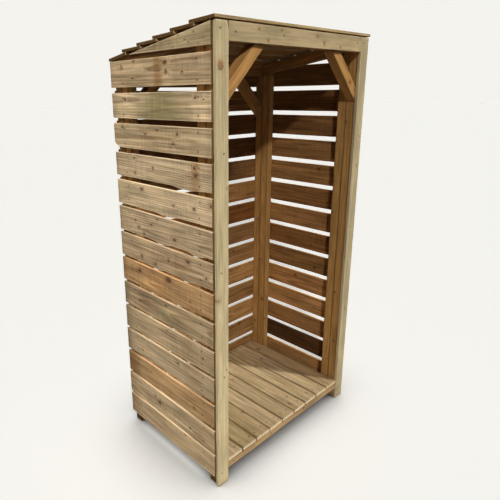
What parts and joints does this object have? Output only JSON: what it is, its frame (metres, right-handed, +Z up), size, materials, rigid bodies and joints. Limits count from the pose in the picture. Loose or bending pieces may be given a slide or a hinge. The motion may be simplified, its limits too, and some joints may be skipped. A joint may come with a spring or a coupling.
{
  "type": "log store",
  "caption": "Tall open fronted log store of sawn softwood with slatted sides and back, a boarded floor, corner braces and a lapped board roof falling to the back.",
  "frame": {"origin": "on the ground at the middle of the plan", "axes": "+Z up, the open front faces -Y, +X to the right seen from the front"},
  "size_m": [0.944, 0.6276, 1.8164],
  "materials": {
    "cover_wood": "planed pressure treated softwood, pale greenish tan",
    "slat_wood": "sawn pressure treated softwood, tan with knots and darker grain",
    "frame_wood": "sawn pressure treated softwood, warm brown",
    "floor_wood": "sawn pressure treated softwood, pale tan with light cut ends",
    "roof_wood": "sawn pressure treated softwood, tan with darker edges"
  },
  "bodies": {
    "root": {"left_cover_board": "cover_wood", "right_cover_board": "cover_wood", "front_header": "cover_wood", "front_sill": "cover_wood", "front_left_post": "frame_wood", "front_right_post": "frame_wood", "back_left_post": "frame_wood", "back_right_post": "frame_wood", "left_front_stud": "frame_wood", "left_back_stud": "frame_wood", "right_front_stud": "frame_wood", "right_back_stud": "frame_wood", "left_rafter": "frame_wood", "right_rafter": "frame_wood", "front_top_rail": "frame_wood", "back_top_rail": "frame_wood", "floor_front_bearer": "frame_wood", "floor_back_bearer": "frame_wood", "front_left_brace": "frame_wood", "front_right_brace": "frame_wood", "back_left_brace": "frame_wood", "back_right_brace": "frame_wood", "left_slats": "slat_wood", "right_slats": "slat_wood", "back_slats": "slat_wood", "left_top_slat": "slat_wood", "right_top_slat": "slat_wood", "floor_boards": "floor_wood", "roof_board_1": "roof_wood", "roof_board_2": "roof_wood", "roof_board_3": "roof_wood", "roof_board_4": "roof_wood", "roof_board_5": "roof_wood", "roof_board_6": "roof_wood"}
  },
  "joints": []
}
